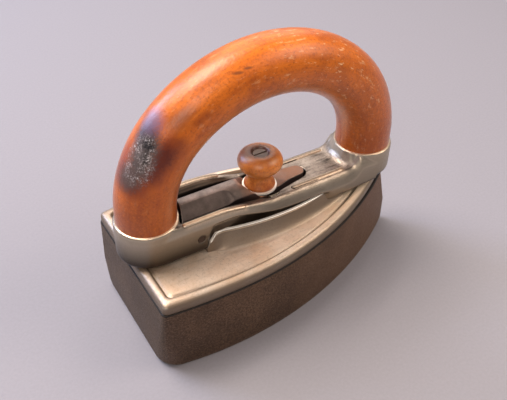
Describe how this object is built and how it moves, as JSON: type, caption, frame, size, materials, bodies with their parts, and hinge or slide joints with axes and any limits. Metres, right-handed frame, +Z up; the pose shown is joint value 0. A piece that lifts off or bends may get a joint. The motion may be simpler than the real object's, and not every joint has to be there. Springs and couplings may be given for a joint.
{
  "type": "box iron",
  "caption": "Old flat iron: a cast iron box that holds a heated slug, under a nickelled lid with a bent wood grip that a thumb latch holds down.",
  "frame": {"origin": "on the ground under the middle of the whole iron, the sole standing on Z = 0", "axes": "+X to the nose, +Y to the left, +Z up"},
  "size_m": [0.1709, 0.0858, 0.1486],
  "materials": {
    "box_iron": "bare, dark and a little rusty",
    "slug_iron": "scaled from the fire",
    "nickelled_iron": "worn nickel plate on cast iron",
    "latch_steel": "dark, stained and partly rusty",
    "bright_steel": "plain steel",
    "dark_washer": "blackened steel",
    "insulating_board": "pressed mineral board",
    "varnished_wood": "orange-brown varnish, worn and scorched"
  },
  "bodies": {
    "box": {"box_body": "box_iron", "keeper_stud": "bright_steel", "keeper_pin": "bright_steel"},
    "slug": {"heating_slug": "slug_iron"},
    "hood": {"lid_casting": "nickelled_iron", "insulating_board": "insulating_board", "heat_shield": "bright_steel", "shield_screws": "bright_steel", "handle_frame": "nickelled_iron", "frame_screws": "bright_steel", "wood_grip": "varnished_wood", "rear_grip_screw": "bright_steel", "front_grip_screw": "bright_steel", "grip_screw_washers": "bright_steel", "latch_pivot_pin": "bright_steel", "latch_spring": "bright_steel"},
    "latch": {"latch_lever": "latch_steel", "wood_knob": "varnished_wood", "knob_washer": "bright_steel", "knob_under_washer": "dark_washer", "knob_screw": "bright_steel", "knob_nut": "bright_steel"}
  },
  "joints": [
    {"name": "hood_lift", "type": "slide", "parent": "box", "child": "hood", "axis": [0, 0, 1], "range_m": [0, 0.12]},
    {"name": "slug_lift", "type": "slide", "parent": "box", "child": "slug", "axis": [0, 0, 1], "range_m": [0, 0.06]},
    {"name": "latch_press", "type": "hinge", "parent": "hood", "child": "latch", "pos_m": [-0.0477, 0, 0.0569], "axis": [0, 1, 0], "range_deg": [0, 7], "stiffness_Nm_per_rad": 2, "springref_deg": -4.58, "deforming": ["latch_spring"]}
  ],
  "couplings": [
    {"joint": "slug_lift", "follows": "hood_lift", "ratio": 0.45}
  ]
}
